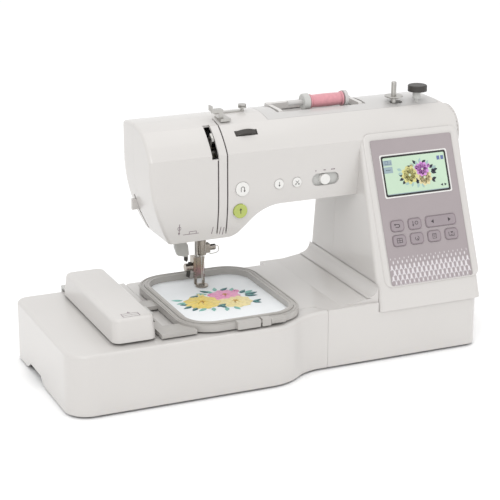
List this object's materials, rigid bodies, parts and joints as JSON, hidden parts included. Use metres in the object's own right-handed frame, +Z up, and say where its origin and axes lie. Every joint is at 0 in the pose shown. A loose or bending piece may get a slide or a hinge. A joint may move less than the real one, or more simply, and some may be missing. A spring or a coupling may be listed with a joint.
{
  "type": "embroidery machine",
  "caption": "Computerised embroidery machine with a side embroidery unit, moving carriage, clamped hoop with fabric, touch screen panel and handwheel.",
  "frame": {"origin": "on the table, under the middle of the whole assembly's bounding box", "axes": "+X to the operator's right (towards the handwheel), -Y towards the operator, +Z up"},
  "size_m": [0.5135, 0.209, 0.2893],
  "materials": {
    "casing": "pearl",
    "unit": "pearl",
    "hoop_grey": "satin",
    "panel": "satin",
    "key": "satin",
    "screen": "gloss",
    "button_white": "gloss",
    "button_green": "lit",
    "clear_grey": "satin",
    "dark_plastic": "satin",
    "rubber": "matt",
    "steel": "satin",
    "chrome": "polished",
    "nickel": "satin",
    "frame_metal": "painted",
    "belt": "matt",
    "thread": "soft",
    "fabric": "woven"
  },
  "bodies": {
    "body": {"front_casing": "casing", "rear_casing": "casing", "casing_screws": "steel", "top_cover": "casing", "thread_guide": "steel", "control_panel": "panel", "lcd_screen": "screen", "bed_casing": "casing", "needle_plate": "steel", "bobbin_cover": "clear_grey", "rubber_feet": "rubber", "main_frame": "frame_metal", "drive_motor": "steel", "drive_belts": "belt", "side_sockets": "dark_plastic", "bobbin_case": "dark_plastic", "unit_cover": "unit", "unit_chassis": "dark_plastic"},
    "carriage": {"carriage_base": "clear_grey", "carriage_case": "unit"},
    "frame_slide": {"frame_holder": "clear_grey", "hoop_outer": "hoop_grey", "hoop_inner": "hoop_grey", "fabric": "fabric"},
    "latch": {"holder_lever": "clear_grey"},
    "clamp_screw": {"hoop_screw": "hoop_grey"},
    "needle_unit": {"needle_bar": "chrome", "needle_clamp": "nickel", "needle": "chrome"},
    "presser": {"presser_bar": "chrome", "embroidery_foot": "nickel", "presser_spring": "steel"},
    "lifter": {"presser_lever": "clear_grey"},
    "take_up": {"take_up_lever": "chrome"},
    "upper_shaft": {"main_shaft": "steel", "handwheel": "casing"},
    "under_shaft": {"lower_shaft": "steel"},
    "hook": {"rotary_hook": "dark_plastic"},
    "rotor": {"motor_pulley": "steel"},
    "bobbin_turn": {"bobbin": "clear_grey"},
    "dial": {"tension_dial": "clear_grey"},
    "slider": {"speed_slider": "button_white"},
    "winder": {"winder_shaft": "clear_grey"},
    "winder_knob": {"winder_stop": "dark_plastic"},
    "spool": {"thread_spool": "thread"},
    "cap": {"spool_cap": "clear_grey"},
    "handle": {"carry_handle": "casing"},
    "threader": {"threader_lever": "casing"},
    "rocker": {"power_switch": "dark_plastic"},
    "b_reverse": {"reverse_button": "button_white"},
    "b_start": {"start_button": "button_green"},
    "b_needle": {"needle_button": "button_white"},
    "b_cutter": {"cutter_button": "button_white"},
    "b_key_back": {"key_back": "key"},
    "b_key_stitch": {"key_stitch": "key"},
    "b_key_arrows": {"key_arrows": "key"},
    "b_key_edit": {"key_edit": "key"},
    "b_key_adjust": {"key_adjust": "key"},
    "b_key_start_point": {"key_start_point": "key"},
    "b_key_help": {"key_help": "key"}
  },
  "joints": [
    {"name": "carriage_travel", "type": "slide", "parent": "body", "child": "carriage", "axis": [1, 0, 0], "range_m": [-0.05, 0.05]},
    {"name": "hoop_travel", "type": "slide", "parent": "carriage", "child": "frame_slide", "axis": [0, 1, 0], "range_m": [-0.002, 0.097]},
    {"name": "holder_latch", "type": "hinge", "parent": "frame_slide", "child": "latch", "pos_m": [-0.1475, -0.026, 0.0805], "axis": [1, 0, 0], "range_deg": [-75, 0]},
    {"name": "hoop_clamp_screw", "type": "hinge", "parent": "frame_slide", "child": "clamp_screw", "pos_m": [-0.042, -0.0966, 0.0754], "axis": [1, 0, 0], "range_deg": [-180, 180]},
    {"name": "needle_bar_stroke", "type": "slide", "parent": "body", "child": "needle_unit", "axis": [0, 0, 1], "range_m": [-0.031, 0]},
    {"name": "presser_lift", "type": "slide", "parent": "body", "child": "presser", "axis": [0, 0, 1], "range_m": [0, 0.007], "deforming": ["presser_spring"]},
    {"name": "presser_lever_turn", "type": "hinge", "parent": "body", "child": "lifter", "pos_m": [-0.031, 0.076, 0.181], "axis": [1, 0, 0], "range_deg": [0, 12]},
    {"name": "take_up_swing", "type": "hinge", "parent": "body", "child": "take_up", "pos_m": [-0.056, 0.021, 0.224], "axis": [1, 0, 0], "range_deg": [0, 25]},
    {"name": "handwheel_turn", "type": "hinge", "parent": "body", "child": "upper_shaft", "pos_m": [0.1, 0.042, 0.225], "axis": [1, 0, 0], "continuous": true},
    {"name": "lower_shaft_turn", "type": "hinge", "parent": "body", "child": "under_shaft", "pos_m": [0.05, 0.0433, 0.032], "axis": [1, 0, 0], "continuous": true},
    {"name": "hook_turn", "type": "hinge", "parent": "body", "child": "hook", "pos_m": [-0.053, 0.024, 0.055], "axis": [0, 0, 1], "continuous": true},
    {"name": "motor_turn", "type": "hinge", "parent": "body", "child": "rotor", "pos_m": [0.2085, 0.079, 0.111], "axis": [1, 0, 0], "continuous": true},
    {"name": "bobbin_spin", "type": "hinge", "parent": "body", "child": "bobbin_turn", "pos_m": [-0.053, 0.024, 0.057], "axis": [0, 0, 1], "continuous": true},
    {"name": "tension_set", "type": "hinge", "parent": "body", "child": "dial", "pos_m": [-0.014, 0.01767, 0.24263], "axis": [0, 0.7071, 0.7071], "range_deg": [-150, 150]},
    {"name": "speed_set", "type": "slide", "parent": "body", "child": "slider", "axis": [1, 0, 0], "range_m": [-0.008, 0.01]},
    {"name": "winder_shift", "type": "slide", "parent": "body", "child": "winder", "axis": [1, 0, 0], "range_m": [0, 0.006]},
    {"name": "winder_stop_turn", "type": "hinge", "parent": "body", "child": "winder_knob", "pos_m": [0.206, 0.026, 0.2673], "axis": [0, 0, 1], "range_deg": [-90, 90]},
    {"name": "spool_turn", "type": "hinge", "parent": "body", "child": "spool", "pos_m": [0.1, 0.045, 0.272], "axis": [1, 0, 0], "continuous": true},
    {"name": "spool_cap_slide", "type": "slide", "parent": "body", "child": "cap", "axis": [1, 0, 0], "range_m": [-0.018, 0]},
    {"name": "handle_lift", "type": "hinge", "parent": "body", "child": "handle", "pos_m": [0.09, 0.0385, 0.264], "axis": [1, 0, 0], "range_deg": [0, 95]},
    {"name": "threader_push", "type": "slide", "parent": "body", "child": "threader", "axis": [0, 0, 1], "range_m": [-0.022, 0], "stiffness_N_per_m": 60},
    {"name": "power_rock", "type": "hinge", "parent": "body", "child": "rocker", "pos_m": [0.23047, 0.035, 0.09], "axis": [0, 1, 0], "range_deg": [-8, 0]},
    {"name": "reverse_press", "type": "slide", "parent": "body", "child": "b_reverse", "axis": [0, 1, 0], "range_m": [0, 0.001], "stiffness_N_per_m": 200},
    {"name": "start_press", "type": "slide", "parent": "body", "child": "b_start", "axis": [0, 1, 0], "range_m": [0, 0.001], "stiffness_N_per_m": 200},
    {"name": "needle_press", "type": "slide", "parent": "body", "child": "b_needle", "axis": [0, 1, 0], "range_m": [0, 0.001], "stiffness_N_per_m": 200},
    {"name": "cutter_press", "type": "slide", "parent": "body", "child": "b_cutter", "axis": [0, 1, 0], "range_m": [0, 0.001], "stiffness_N_per_m": 200},
    {"name": "key_back_press", "type": "slide", "parent": "body", "child": "b_key_back", "axis": [0, 0.9258, -0.378], "range_m": [0, 0.0005], "stiffness_N_per_m": 200},
    {"name": "key_stitch_press", "type": "slide", "parent": "body", "child": "b_key_stitch", "axis": [0, 0.9258, -0.378], "range_m": [0, 0.0005], "stiffness_N_per_m": 200},
    {"name": "key_arrows_press", "type": "slide", "parent": "body", "child": "b_key_arrows", "axis": [0, 0.9258, -0.378], "range_m": [0, 0.0005], "stiffness_N_per_m": 200},
    {"name": "key_edit_press", "type": "slide", "parent": "body", "child": "b_key_edit", "axis": [0, 0.9258, -0.378], "range_m": [0, 0.0005], "stiffness_N_per_m": 200},
    {"name": "key_adjust_press", "type": "slide", "parent": "body", "child": "b_key_adjust", "axis": [0, 0.9258, -0.378], "range_m": [0, 0.0005], "stiffness_N_per_m": 200},
    {"name": "key_start_point_press", "type": "slide", "parent": "body", "child": "b_key_start_point", "axis": [0, 0.9258, -0.378], "range_m": [0, 0.0005], "stiffness_N_per_m": 200},
    {"name": "key_help_press", "type": "slide", "parent": "body", "child": "b_key_help", "axis": [0, 0.9258, -0.378], "range_m": [0, 0.0005], "stiffness_N_per_m": 200}
  ],
  "couplings": [
    {"joint": "lower_shaft_turn", "follows": "handwheel_turn", "ratio": 1},
    {"joint": "hook_turn", "follows": "handwheel_turn", "ratio": 2},
    {"joint": "motor_turn", "follows": "handwheel_turn", "ratio": 3},
    {"joint": "take_up_swing", "follows": "needle_bar_stroke", "rad_per_m": -14.019},
    {"joint": "presser_lever_turn", "follows": "presser_lift", "rad_per_m": 29.671}
  ]
}
